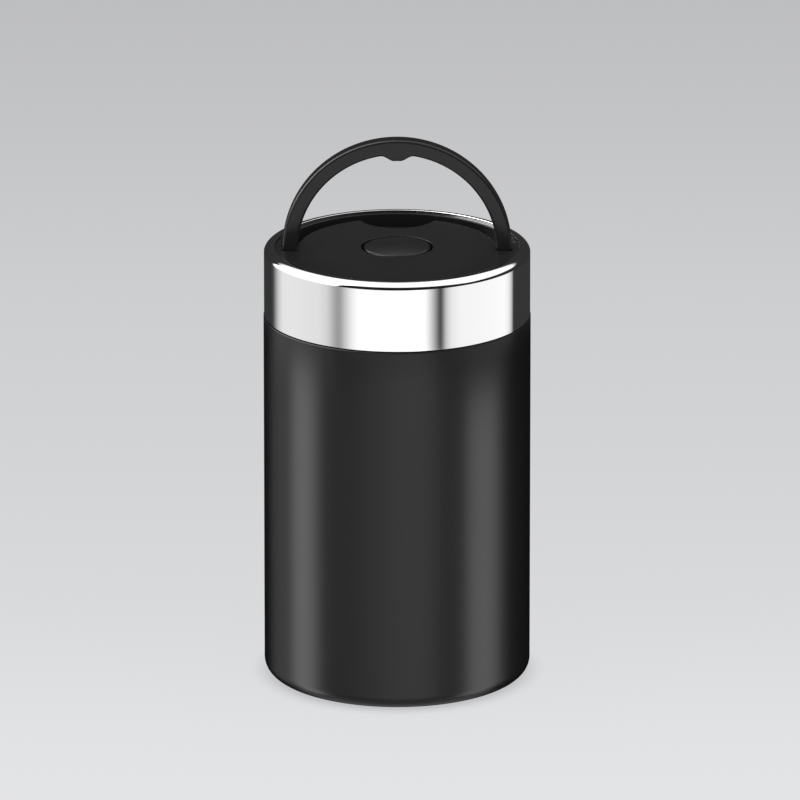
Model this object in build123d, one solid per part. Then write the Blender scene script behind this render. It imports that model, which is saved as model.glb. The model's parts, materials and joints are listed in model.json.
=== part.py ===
from build123d import *
import os

os.makedirs("parts", exist_ok=True)

# An insulated food jar: a double-walled steel vessel with a screw lid. The lid carries
# a bail handle that folds back into a groove, and a push button that lets off pressure.
# Millimetres. The origin is the centre of the base, +Z is up, -Y is the front, and the
# handle folds back towards +Y.

# ---- driving dimensions: the vessel ------------------------------------------------
body_radius = 50.0
body_height = 140.2  # floor to the ledge under the lid
shell_wall = 0.6
vessel_wall = 0.5
base_bend = 5.5  # outer radius of the rounded bottom edge
ledge_bend = 0.8
foot_width = 2.5  # flat ring that the jar stands on
foot_lip = 4.0  # the shell turns up inside the foot by this much
lip_bend = 1.0
ledge_width = 7.4  # the neck is this much narrower than the body, all round
neck_bend = 1.5
vacuum_gap = 2.6  # between the two walls of the body
neck_vacuum_gap = 1.4
weld_gap = 0.02
chamber_floor = 12.0
chamber_bend = 12.0
shoulder_drop = 1.7  # the mouth starts to widen this far below the ledge
shoulder_height = 8.5  # and is as wide as the food chamber this much lower
shoulder_bend = 5.0

# ---- driving dimensions: the base --------------------------------------------------
base_sheet = 0.6
base_cap_height = 6.0
base_flange_foot = 1.2  # both base discs end this far above the floor
base_bend_inner = 1.6
cover_height = 3.4
cover_gap = 0.15
dimple_radius = 11.0
dimple_depth = 1.0
pump_dimple_radius = 8.0
pump_hole_radius = 1.0
bead_radius = 2.6
bead_height = 1.3
getter_radius = 4.5
getter_height = 2.2
strap_start = 4.0  # the strap starts this far outside the pump-out dimple
strap_end = 6.38  # and ends this far inside the disc's rim
strap_width = 5.0
strap_thick = 0.5
foil_thick = 0.2
foil_gap = 0.2
foil_margin = 6.0  # bare steel left above and below the foil

# ---- driving dimensions: the lid ---------------------------------------------------
seam_gap = 0.4  # shadow line between the jar and its lid
lid_set_back = 0.2  # the lid is this much narrower than the jar, all round
band_wall = 0.6
lid_height = 26.25  # lower edge of the band to its crest
crest_width = 3.7  # the band's shoulder, a quarter of an ellipse
crest_height = 2.45
crest_bend = 0.45
band_lip = 2.4  # the band turns down into the lid by this much
rim_step = 0.45  # the black top lies this far below the crest
rim_dip = 0.55  # behind the handle its rim is this much lower
dip_run = 4.0
insert_gap = 0.1
band_fit = 0.1
top_plate = 1.8
moulded_wall = 1.6
flange_chamfer = 1.2
edge_round = 0.2
deck_thick = 1.6
gasket_height = 1.8
gasket_web = 1.2
gasket_overhang = 0.6
gasket_fit = 0.3
thread_depth = 1.3
thread_play = 0.4
skirt_wall = 1.8
skirt_flange = 1.6
skirt_set_back = 0.6
plug_depth = 15.0  # the lid's plug reaches this far below the rim
plug_play = 0.9
plug_wall = 1.3
plug_bend = 3.0
lid_travel = 5.0  # the thread lifts the lid by this much before it comes free
insulation_fit = 0.3

# ---- driving dimensions: the handle ------------------------------------------------
top_margin = 1.03  # the narrowest part of the lid's rim, behind the folded handle
bail_width = 5.68
bail_thick = 6.5
bail_round = 0.9
pivot_depth = 2.12  # pivot below the lid's top face
bail_rise = 1.3  # centre of the bail's arc above its pivot
leg_tail = 4.0  # leg below the pivot
tab_depth = 2.35
tab_tip = 5.2
tab_root = 9.4
tab_round = 1.4
pin_radius = 1.25
pin_play = 0.05
pin_seat = 0.02
pin_reach = 2.2  # pin past the outer face of the leg's pocket
pin_tip = 0.2
groove_side = 0.42
groove_back = 0.4
groove_floor_play = 0.35
pocket_play = 0.4
pocket_plate = 2.326  # left under the two pockets for the legs
pocket_front = 5.9
pocket_back = 3.95
finger_radius = 14.3  # scoop for the fingertip that lifts the folded handle
finger_depth = 12.72
finger_corner = 1.2

# ---- driving dimensions: the pressure button ---------------------------------------
button_radius = 12.5
button_dome = 1.0
button_wall = 1.4
button_skirt = 4.0
button_edge = 0.9
button_gap = 0.95
button_travel = 2.0
well_floor = 1.5
boss_radius = 3.6
boss_stop = 0.05  # left between the boss and the well's floor at the end of the travel
stem_radius = 1.8
stem_play = 0.05
stem_head_radius = 5.0
stem_head_thick = 1.5
vent_radius = 3.2
chimney_wall = 1.2
valve_radius = 6.5
valve_thick = 1.6
relief_hole_radius = 0.9
relief_hole_count = 3
relief_circle = 8.5
spring_radius = 5.3
spring_wire = 0.7
spring_turns = 4
spring_play = 0.1


def turned(face):
    """A flat profile of (radius, height), revolved about the jar's axis."""
    return revolve(Plane.XZ * face, Axis.Z)


def ring(inner, outer, bottom, top):
    """A plain turned ring, or a disc where the inner radius is zero."""
    return turned(Pos((inner + outer) / 2, (bottom + top) / 2) * Rectangle(outer - inner, top - bottom))


def pressed(corners, bends, wall, side):
    """Sheet of one thickness along a bent line, on one side of it, revolved."""
    line = FilletPolyline(*corners, radius=bends)
    return turned(make_face(line.offset_2d(wall, side=side, closed=True).edges()))


def extruded(sketch, bottom, top):
    """A flat sketch raised from one height to another."""
    return extrude(Pos(0, 0, bottom) * sketch, top - bottom)


pieces = {}

# ---- levels and radii that the jar and its lid share ---------------------------------
# Counted down from the lid's crest: the handle's pocket, the deck, the gasket, the rim.
band_bottom = body_height + seam_gap
crest = band_bottom + lid_height
top_face = crest - rim_step
pivot_height = top_face - pivot_depth
bail_clearance = (bail_thick**2 / 4 + leg_tail**2) ** 0.5
pocket_floor = pivot_height - bail_clearance - pocket_play
deck_top = pocket_floor - pocket_plate
deck_bottom = deck_top - deck_thick
rim_height = deck_bottom - gasket_height
neck_radius = body_radius - ledge_width
lid_radius = body_radius - lid_set_back

# ---- the vessel --------------------------------------------------------------------
# The outer tube is spun in to a ledge and a neck at the top, and to a foot below.
foot_radius = body_radius - base_bend - foot_width
pieces["outer_shell"] = pressed(
    [
        (neck_radius, rim_height),
        (neck_radius, body_height),
        (body_radius, body_height),
        (body_radius, 0),
        (foot_radius, 0),
        (foot_radius, foot_lip),
    ],
    [neck_bend, ledge_bend, base_bend, lip_bend],
    shell_wall,
    Side.RIGHT,
)

# The food vessel hangs from the rim, where it is welded to the neck.
chamber_radius = body_radius - shell_wall - vacuum_gap - vessel_wall
mouth_radius = neck_radius - shell_wall - neck_vacuum_gap - vessel_wall
shoulder_top = body_height - shoulder_drop
shoulder_bottom = shoulder_top - shoulder_height
pieces["inner_vessel"] = pressed(
    [
        (neck_radius - shell_wall - weld_gap, rim_height),
        (mouth_radius, rim_height),
        (mouth_radius, shoulder_top),
        (chamber_radius, shoulder_bottom),
        (chamber_radius, chamber_floor),
        (0, chamber_floor),
    ],
    [vessel_wall, shoulder_bend, shoulder_bend, chamber_bend],
    vessel_wall,
    Side.LEFT,
)

# Copper foil wrapped round the food vessel, in the vacuum.
foil_radius = chamber_radius + vessel_wall + foil_gap
pieces["heat_shield"] = ring(
    foil_radius,
    foil_radius + foil_thick,
    chamber_floor + chamber_bend,
    shoulder_bottom - foil_margin,
)

# ---- the base ----------------------------------------------------------------------
# The vacuum is drawn through the hole in the inner disc, which a glass bead then seals.
cap_radius = foot_radius - shell_wall - weld_gap
pump_dimple_top = base_cap_height + dimple_depth
pieces["vacuum_base"] = pressed(
    [
        (cap_radius, base_flange_foot),
        (cap_radius, base_cap_height + base_sheet),
        (pump_dimple_radius + dimple_depth, base_cap_height + base_sheet),
        (pump_dimple_radius, pump_dimple_top + base_sheet),
        (pump_hole_radius, pump_dimple_top + base_sheet),
    ],
    [base_bend_inner, base_sheet, base_sheet],
    base_sheet,
    Side.LEFT,
)
bead = Pos(0, pump_dimple_top) * Ellipse(bead_radius, bead_height)
bead_half = Pos(bead_radius / 2, pump_dimple_top - bead_height / 2) * Rectangle(bead_radius, bead_height)
bead_plug = Pos(pump_hole_radius / 2, pump_dimple_top + base_sheet / 2) * Rectangle(
    pump_hole_radius, base_sheet
)
pieces["seal_bead"] = turned((bead & bead_half) + bead_plug)

# The outer disc hides the seal. It is pressed into the inner one's flange.
cover_radius = cap_radius - base_sheet - cover_gap
cover_top = cover_height + base_sheet
pieces["base_cover"] = pressed(
    [
        (cover_radius, base_flange_foot),
        (cover_radius, cover_top),
        (dimple_radius + dimple_depth, cover_top),
        (dimple_radius, cover_top + dimple_depth),
        (0, cover_top + dimple_depth),
    ],
    [base_bend_inner, base_sheet, base_sheet],
    base_sheet,
    Side.LEFT,
)

# The getter soaks up stray gas. Its cup is welded to a strap on the inner disc.
strap_inner = pump_dimple_radius + dimple_depth + strap_start
strap_outer = cap_radius - strap_end
getter_place = (strap_inner + strap_outer) / 2
strap_bottom = base_cap_height + base_sheet
pieces["getter_strap"] = Pos(getter_place, 0, strap_bottom + strap_thick / 2) * Box(
    strap_outer - strap_inner, strap_width, strap_thick
)
getter_bottom = strap_bottom + strap_thick
getter_cup = Cylinder(getter_radius, getter_height) - Pos(0, 0, strap_thick) * Cylinder(
    getter_radius - strap_thick, getter_height
)
getter_fill = Cylinder(getter_radius - strap_thick, getter_height - 2 * strap_thick)
pieces["getter"] = Pos(getter_place, 0, getter_bottom + getter_height / 2) * (getter_cup + getter_fill)

# ---- the lid -----------------------------------------------------------------------
band_inner = lid_radius - band_wall
lip_radius = lid_radius - crest_width - crest_bend
lip_foot = crest - band_lip

# Polished steel band: a drawn cup with its middle cut away and its edge turned down.
shoulder_start = crest - crest_height
shoulder_centre = lid_radius - crest_width


def band_profile(inset):
    """The space under the band's outer face, moved in by the inset."""
    side = Line((lip_radius, band_bottom), (lid_radius - inset, band_bottom))
    wall = Line(side @ 1, (lid_radius - inset, shoulder_start))
    shoulder = EllipticalCenterArc(
        (shoulder_centre, shoulder_start),
        crest_width - inset,
        crest_height - inset,
        start_angle=0,
        arc_size=90,
    )
    top = Line(shoulder @ 1, (lip_radius, crest - inset))
    return make_face([side, wall, shoulder, top, Line(top @ 1, side @ 0)])


band_lip_wall = Pos(lip_radius + band_wall / 2, crest - band_lip / 2) * Rectangle(band_wall, band_lip)
lip_corner = Pos(lip_radius + crest_bend / 2, crest - crest_bend / 2) * Rectangle(crest_bend, crest_bend)
lip_corner -= Pos(shoulder_centre, crest - crest_bend) * Circle(crest_bend)
pieces["lid_band"] = turned(band_profile(0) - band_profile(band_wall) + band_lip_wall - lip_corner)

# Radii inside the lid, counted in from its rim.
groove_floor = pivot_height - bail_thick / 2 - groove_floor_play
insert_radius = lip_radius - insert_gap
groove_radius = insert_radius - top_margin - bail_rise
bail_outer = groove_radius - groove_back
bail_inner = bail_outer - bail_width
disc_radius = bail_inner - groove_side
finger_reach = disc_radius - finger_depth
well_radius = button_radius + button_gap


def handle_recess(margin):
    """Outline of the groove, the two leg pockets and the fingertip scoop, grown by a margin."""
    half = Pos(0, body_radius / 2) * Rectangle(2 * body_radius, body_radius)
    groove = Pos(0, bail_rise) * Circle(groove_radius + margin) - Circle(disc_radius - margin)
    scoop = Pos(0, finger_reach + finger_radius) * Circle(finger_radius + margin)
    return half & (groove + (scoop & Circle(disc_radius)))


def leg_pockets(margin):
    """Outline of the two deep pockets that the ends of the legs swing in."""
    width = groove_radius - disc_radius + 2 * margin
    length = pocket_front + pocket_back + 2 * margin
    middle = (groove_radius + disc_radius) / 2
    pocket = Rectangle(width, length)
    back = (pocket_back - pocket_front) / 2
    return Pos(middle, back) * pocket + Pos(-middle, back) * pocket


# Black moulded top: a thin plate on walls, with the recess for the folded handle.
flange_radius = band_inner - band_fit
boss = ring(0, insert_radius, deck_top, top_face)
boss = fillet(boss.edges().group_by(Axis.Z)[-1], edge_round)
flange = ring(0, flange_radius, deck_top, lip_foot)
flange = chamfer(flange.edges().group_by(Axis.Z)[-1], flange_chamfer)
recess = handle_recess(0)
scoop_corners = recess.vertices().filter_by(lambda v: finger_reach < v.Y < disc_radius)
recess = fillet(scoop_corners, finger_corner)
core = Circle(insert_radius - moulded_wall) - Circle(well_radius + moulded_wall)
core = core - handle_recess(moulded_wall) - leg_pockets(moulded_wall)
relief_holes = PolarLocations(relief_circle, relief_hole_count) * Circle(relief_hole_radius)
pin_start = disc_radius - moulded_wall - pin_tip
pin_end = groove_radius + pin_reach
bore_length = flange_radius - pin_start
pin_bore = Rot(0, 90, 0) * Cylinder(pin_radius + pin_seat, bore_length)
lid_top = boss + flange
lid_top -= extruded(recess, groove_floor, crest)
lid_top -= extruded(leg_pockets(0), pocket_floor, crest)
lid_top -= extruded(core, deck_top, top_face - top_plate)
lid_top -= ring(0, well_radius, deck_top + well_floor, crest)
lid_top -= extruded(Circle(stem_radius + stem_play), deck_top, crest)
lid_top -= extruded(Sketch() + relief_holes, deck_top, crest)
lid_top -= Pos(pin_start + bore_length / 2, 0, pivot_height) * pin_bore
lid_top -= Pos(-pin_start - bore_length / 2, 0, pivot_height) * pin_bore

# Behind the handle the rim dips, so that a fingertip can reach under the folded bail.
dip_start = pocket_back + groove_side
dip_level = top_face - rim_dip
dip_side = Polyline(
    (dip_start, top_face),
    (dip_start + dip_run, dip_level),
    (body_radius, dip_level),
    (body_radius, crest),
    (dip_start, crest),
    close=True,
)
dip = extrude(Plane.YZ * make_face(dip_side), body_radius, both=True)
pieces["lid_top"] = lid_top - (dip & ring(bail_inner, band_inner, groove_floor, crest))

# Lid body: the deck over the rim and the skirt that carries the thread.
skirt_inner = neck_radius + thread_depth + thread_play
skirt_bottom = band_bottom + skirt_set_back
skirt_outer = skirt_inner + skirt_wall
lid_body = ring(vent_radius, flange_radius, deck_bottom, deck_top)
lid_body += ring(skirt_inner, skirt_outer, skirt_bottom, deck_bottom)
lid_body += ring(skirt_inner, flange_radius, skirt_bottom, skirt_bottom + skirt_flange)
pieces["lid_body"] = lid_body

# Food-side plug: a cup with a chimney up its middle for the stem and the vented air.
plug_radius = mouth_radius - plug_play
plug_bottom = rim_height - plug_depth
lid_liner = pressed(
    [(plug_radius, deck_bottom), (plug_radius, plug_bottom), (vent_radius, plug_bottom)],
    [plug_bend],
    plug_wall,
    Side.RIGHT,
)
lid_liner += ring(vent_radius, vent_radius + chimney_wall, plug_bottom, deck_bottom)
pieces["lid_liner"] = lid_liner

# Foam puck under the deck. The air space below it is a little deeper than the lid's rise.
foam_foot = plug_bottom + plug_wall + lid_travel + insulation_fit
foam = ring(
    vent_radius + chimney_wall + insulation_fit,
    plug_radius - plug_wall - insulation_fit,
    foam_foot,
    deck_bottom - insulation_fit,
)
foam_corner = foam.edges().group_by(Axis.Z)[0].sort_by(SortBy.RADIUS)[-1]
pieces["lid_insulation"] = fillet(foam_corner, plug_bend)

# Silicone ring between the rim and the deck, with two round beads that press on the rim.
gasket_inner = plug_radius + gasket_fit
gasket_outer = neck_radius + gasket_overhang
gasket_web_bottom = deck_bottom - gasket_web
gasket_middle = (gasket_inner + gasket_outer) / 2
web = Pos(gasket_middle, gasket_web_bottom + gasket_web / 2) * Rectangle(
    gasket_outer - gasket_inner, gasket_web
)
bead_drop = gasket_height - gasket_web
bead_row = GridLocations((gasket_outer - gasket_inner) / 2, 1, 2, 1)
gasket_beads = Pos(gasket_middle, gasket_web_bottom) * (Sketch() + bead_row * Circle(bead_drop))
pieces["lid_gasket"] = turned(web + gasket_beads)

# ---- the handle --------------------------------------------------------------------
# A half-round bail with straight legs, and a small tab inside its crown for a fingertip.
bail_centre = pivot_height + bail_rise
leg_foot = pivot_height - leg_tail
half_ring = Circle(bail_outer) - Circle(bail_inner)
half_ring = half_ring & Pos(0, bail_outer / 2) * Rectangle(2 * bail_outer, bail_outer)
leg = Rectangle(bail_width, bail_centre - leg_foot)
leg_middle = bail_outer - bail_width / 2
leg_drop = (leg_foot - bail_centre) / 2
bail_face = half_ring + Pos(leg_middle, leg_drop) * leg + Pos(-leg_middle, leg_drop) * leg
tab_foot = bail_inner - tab_depth
tab = make_face(
    Polyline(
        (-tab_tip / 2, tab_foot),
        (tab_tip / 2, tab_foot),
        (tab_root / 2, bail_inner),
        (-tab_root / 2, bail_inner),
        close=True,
    )
)
bail_face = bail_face + tab
tab_corners = bail_face.vertices().filter_by(lambda v: abs(v.X) < tab_root and v.Y < bail_inner)
bail_face = fillet(tab_corners, tab_round)
bail = Pos(0, bail_thick / 2, bail_centre) * extrude(Plane.XZ * bail_face, bail_thick)
bail = fillet(bail.edges().filter_by(Axis.Y, reverse=True), bail_round)
bail -= Pos(0, 0, pivot_height) * Rot(0, 90, 0) * Cylinder(pin_radius + pin_play, 2 * body_radius)
pieces["handle"] = bail

# One pin for each leg, pressed in from outside before the band goes on.
pin = Rot(0, 90, 0) * Cylinder(pin_radius, pin_end - pin_start)
pin = chamfer(pin.edges().filter_by(GeomType.CIRCLE), pin_tip)
pin_middle = (pin_start + pin_end) / 2
pieces["handle_pin_left"] = Pos(-pin_middle, 0, pivot_height) * pin
pieces["handle_pin_right"] = Pos(pin_middle, 0, pivot_height) * pin

# ---- the pressure button -----------------------------------------------------------
# Pressing the button pushes the stem down, and the valve leaves its seat on the plug.
button_foot = top_face - button_skirt
button_ceiling = top_face - button_wall
boss_foot = deck_top + well_floor + button_travel + boss_stop
stem_top = button_ceiling - button_edge
dome = ThreePointArc(
    (-button_radius, top_face),
    (0, top_face + button_dome),
    (button_radius, top_face),
)
dome_face = make_face([dome, Line(dome @ 1, dome @ 0)])
dome_half = dome_face & Pos(button_radius / 2, top_face) * Rectangle(button_radius, 2 * button_dome)
cap = Pos(button_radius / 2, (button_foot + top_face) / 2) * Rectangle(button_radius, button_skirt)
cap_hollow_radius = button_radius - button_wall
cap_hollow = Pos(cap_hollow_radius / 2, (button_foot + button_ceiling) / 2) * Rectangle(
    cap_hollow_radius, button_ceiling - button_foot
)
cap_boss = Pos(boss_radius / 2, (boss_foot + button_ceiling) / 2) * Rectangle(
    boss_radius, button_ceiling - boss_foot
)
socket_radius = stem_radius + pin_seat
cap_socket = Pos(socket_radius / 2, (boss_foot + stem_top) / 2) * Rectangle(
    socket_radius, stem_top - boss_foot
)
vent_button = turned(cap + dome_half - cap_hollow + cap_boss - cap_socket)
rim_edges = vent_button.edges().filter_by(GeomType.CIRCLE)
rim_edges = rim_edges.filter_by(lambda e: abs(e.radius - button_radius) < button_edge / 2)
pieces["vent_button"] = fillet(rim_edges.sort_by(Axis.Z)[-1], button_edge)

valve_foot = plug_bottom - valve_thick
stem_foot = valve_foot - stem_head_thick
pieces["vent_stem"] = ring(0, stem_radius, valve_foot, stem_top) + ring(
    0, stem_head_radius, stem_foot, valve_foot
)
pieces["valve_seal"] = ring(stem_radius + pin_seat, valve_radius, valve_foot, plug_bottom)

# The spring stands on the floor of the button's well and pushes the button up.
spring_foot = deck_top + well_floor + spring_play + spring_wire / 2
spring_length = button_ceiling - spring_play - spring_wire / 2 - spring_foot
coil = Helix(pitch=spring_length / spring_turns, height=spring_length, radius=spring_radius)
wire_section = Plane(origin=coil @ 0, z_dir=coil % 0) * Circle(spring_wire / 2)
pieces["vent_spring"] = Pos(0, 0, spring_foot) * sweep(wire_section, path=coil, is_frenet=True)

for name, piece in pieces.items():
    export_step(piece, f"parts/{name}.step")
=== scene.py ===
import json
import math

import bmesh
import bpy
import numpy as np
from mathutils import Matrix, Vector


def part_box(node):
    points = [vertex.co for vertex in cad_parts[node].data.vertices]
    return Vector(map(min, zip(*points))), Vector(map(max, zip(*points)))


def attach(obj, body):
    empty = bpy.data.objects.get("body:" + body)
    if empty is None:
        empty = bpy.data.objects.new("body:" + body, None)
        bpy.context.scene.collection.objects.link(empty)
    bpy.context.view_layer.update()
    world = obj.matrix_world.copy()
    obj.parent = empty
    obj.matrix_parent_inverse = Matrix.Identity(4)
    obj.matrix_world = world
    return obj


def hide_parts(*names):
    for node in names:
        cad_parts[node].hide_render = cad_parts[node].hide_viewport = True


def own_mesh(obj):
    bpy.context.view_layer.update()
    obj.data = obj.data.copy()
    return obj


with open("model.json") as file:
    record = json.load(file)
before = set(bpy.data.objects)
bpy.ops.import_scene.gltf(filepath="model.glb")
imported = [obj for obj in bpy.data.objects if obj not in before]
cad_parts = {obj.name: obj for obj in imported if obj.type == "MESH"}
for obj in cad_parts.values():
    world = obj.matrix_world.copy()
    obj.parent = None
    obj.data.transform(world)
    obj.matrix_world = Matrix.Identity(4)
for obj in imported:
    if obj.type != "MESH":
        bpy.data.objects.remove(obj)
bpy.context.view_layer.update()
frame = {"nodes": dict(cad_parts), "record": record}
joints = {joint["name"]: joint for joint in frame["record"]["behaviour"]["joints"]}
bpy.context.scene.view_settings.view_transform = "Standard"


# ---- Outer shell -------------------------------------------------------------------
# The jar's outer wall is a steel tube, spun in to a ledge and a neck at the top and to
# a foot ring below. It is powder-coated satin black up to the neck and over the ledge;
# the neck is bare steel, with the lid's thread rolled into it.

MM = 0.001


def span(node):
    """Lowest and highest corner of a CAD node, in millimetres."""
    low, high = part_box(node)
    return np.array(low) / MM, np.array(high) / MM


def bent(corners, bends, steps=10, guard=0.12):
    """Straight runs between corners, each inner corner rounded to its bend radius.
    An arc starts r·tan(turn/2) before its corner. A guard point just outside each end
    of an arc keeps the shading of the straight run flat."""
    corners = np.array(corners, float)
    points = [corners[:1]]
    for before, corner, after, bend in zip(corners, corners[1:], corners[2:], bends):
        back = (before - corner) / np.linalg.norm(before - corner)
        on = (after - corner) / np.linalg.norm(after - corner)
        turn = math.pi - math.acos(np.clip(back @ on, -1, 1))
        cut = bend * math.tan(turn / 2)
        middle = corner + (back + on) / np.linalg.norm(back + on) * bend / math.cos(turn / 2)
        first = corner + back * cut - middle
        last = corner + on * cut - middle
        share = np.linspace(0, 1, steps + 1)[:, None]
        arc = (np.sin((1 - share) * turn) * first + np.sin(share * turn) * last) / math.sin(turn)
        points += [(corner + back * (cut + guard))[None], middle + arc, (corner + on * (cut + guard))[None]]
    return np.vstack(points + [corners[-1:]])


def beside(line, distance):
    """The line moved to its left by a distance, along its own normals."""
    along = np.gradient(line, axis=0)
    along[0] = line[1] - line[0]
    along[-1] = line[-1] - line[-2]
    along /= np.linalg.norm(along, axis=1)[:, None]
    return line + distance * np.column_stack([-along[:, 1], along[:, 0]])


def sheet(line, wall):
    """A closed profile: the line, and back along the same line moved left by the wall."""
    return np.vstack([line, beside(line, wall)[::-1]])


def grid(points, wrap_across=False, wrap_along=False, flip=False):
    """Quads over an array of points (along, across, xyz); a wrapped side joins up. Like
    every surface here, it is a pair: the points, and a list of arrays with a face a row."""
    along, across = points.shape[:2]
    index = np.arange(along * across).reshape(along, across)
    if wrap_along:
        index = np.vstack([index, index[:1]])
    if wrap_across:
        index = np.hstack([index, index[:, :1]])
    quads = np.stack([index[:-1, :-1], index[:-1, 1:], index[1:, 1:], index[1:, :-1]], -1).reshape(-1, 4)
    return points.reshape(-1, 3), [quads[:, ::-1] if flip else quads]


def tube(rings, flip=False):
    """A closed surface over rings of points: quads between them, and a face at each end."""
    points, faces = grid(rings, wrap_across=True, flip=flip)
    corner = np.arange(rings.shape[1])
    ends = np.stack([corner, len(points) - 1 - corner])
    return points, faces + [ends if flip else ends[:, ::-1]]


def turned(radius, height, angle):
    """Points at a radius and a height, turned about Z by an angle: x = r·cos, y = r·sin."""
    return np.stack(np.broadcast_arrays(radius * np.cos(angle), radius * np.sin(angle), height), -1)


def lathe(profile, around=240, closed=True):
    """A profile of (radius, height) turned right round. A profile that runs anticlockwise,
    with the radius to the right, gives faces that point outwards."""
    angle = np.linspace(0, 2 * math.pi, around, endpoint=False)
    return grid(turned(profile[:, :1], profile[:, 1:], angle), wrap_across=True, wrap_along=closed)


def eased(share):
    """A share cut to 0 to 1, with soft ends: s·s·(3 - 2·s)."""
    share = np.clip(share, 0, 1)
    return share * share * (3 - 2 * share)


def filled(loops, height):
    """A flat face, looking up, inside the first loop and outside the others, as triangles."""
    points = np.vstack(loops)
    points = np.column_stack([points, np.full(len(points), height)])
    corner = np.arange(len(points))
    loop_ends = np.cumsum([len(loop) for loop in loops])
    edges = [np.column_stack([part, np.roll(part, -1)]) for part in np.split(corner, loop_ends[:-1])]
    flat = bpy.data.meshes.new("flat")
    flat.from_pydata(points, np.vstack(edges).tolist(), [])
    shape = bmesh.new()
    shape.from_mesh(flat)
    bmesh.ops.triangle_fill(shape, use_beauty=True, edges=shape.edges[:], normal=(0, 0, 1))
    shape.to_mesh(flat)
    shape.free()
    triangles = np.empty(3 * len(flat.polygons), int)
    flat.polygons.foreach_get("vertices", triangles)
    bpy.data.meshes.remove(flat)
    triangles = triangles.reshape(-1, 3)
    first, second, third = points[triangles, :2].swapaxes(0, 1)
    upward = np.cross(second - first, third - first) > 0
    return points, [np.where(upward[:, None], triangles, triangles[:, ::-1])]


def piece(name, surfaces, body, finish, replaces=(), sharp=40):
    """Joins surfaces, given in millimetres, into one mesh object that rides on a body."""
    start = np.cumsum([0] + [len(points) for points, _ in surfaces])
    points = np.vstack([points for points, _ in surfaces])
    rows = [face + first for first, (_, faces) in zip(start, surfaces) for face in faces]
    mesh = bpy.data.meshes.new(name)
    mesh.from_pydata(points * MM, [], [face for row in rows for face in row.tolist()])
    shape = bmesh.new()
    shape.from_mesh(mesh)
    bmesh.ops.remove_doubles(shape, verts=shape.verts[:], dist=1e-7)
    bmesh.ops.dissolve_degenerate(shape, edges=shape.edges[:], dist=1e-8)
    shape.to_mesh(mesh)
    shape.free()
    mesh.shade_smooth()
    mesh.set_sharp_from_angle(angle=math.radians(sharp))
    mesh.materials.append(finish)
    made = bpy.data.objects.new(name, mesh)
    bpy.context.scene.collection.objects.link(made)
    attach(made, body)
    if replaces:
        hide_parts(*replaces)
    return made


def thread(root, crest, start, pitch, turns, outward, phase=0.0, steps=72):
    """A thread ridge: a flat-topped section carried along a helix, z = start + pitch·turn.
    Its height eases in and out over an eighth of a turn at both ends. Reach is how far
    each point of the section stands out, and width is its place across the ridge."""
    turn = np.linspace(0, turns, int(turns * steps))
    ease = eased(np.minimum(turn, turns - turn) * 8)
    side = 1 if outward else -1
    depth = abs(crest - root)
    reach = np.array([-0.15, 0.0, 0.55, 0.9, 1.0, 1.0, 0.9, 0.55, 0.0, -0.15]) * depth
    width = np.array([-0.3, -0.27, -0.19, -0.15, -0.1, 0.1, 0.15, 0.19, 0.27, 0.3]) * pitch
    radius = root + side * np.minimum(reach, reach * ease[:, None])
    height = start + pitch * turn[:, None] + width
    return tube(turned(radius, height, 2 * math.pi * turn[:, None] + phase), flip=outward)


class Value:
    """A number on the surface: sums written on it add Math nodes to its material."""

    def __init__(self, finish, socket):
        self.finish = finish
        self.socket = socket

    def maths(self, operation, *values):
        made = self.finish.node("ShaderNodeMath", {"operation": operation}, dict(enumerate(values)))
        return Value(self.finish, made.outputs[0])

    def __add__(self, other):
        return self.maths("ADD", self, other)

    def __sub__(self, other):
        return self.maths("SUBTRACT", self, other)

    def __rsub__(self, other):
        return self.maths("SUBTRACT", other, self)

    def __mul__(self, other):
        return self.maths("MULTIPLY", self, other)

    __radd__, __rmul__ = __add__, __mul__

    def step(self, low, high):
        """Rises smoothly from 0 at low to 1 at high."""
        made = self.finish.node(
            "ShaderNodeMapRange",
            {"interpolation_type": "SMOOTHSTEP"},
            {"Value": self, "From Min": low, "From Max": high},
        )
        return Value(self.finish, made.outputs["Result"])

    def band(self, low, full, fading, high):
        """Rises smoothly from 0 at low to 1 at full, and falls again from fading to high."""
        return self.step(low, full) * (1 - self.step(fading, high))


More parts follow.
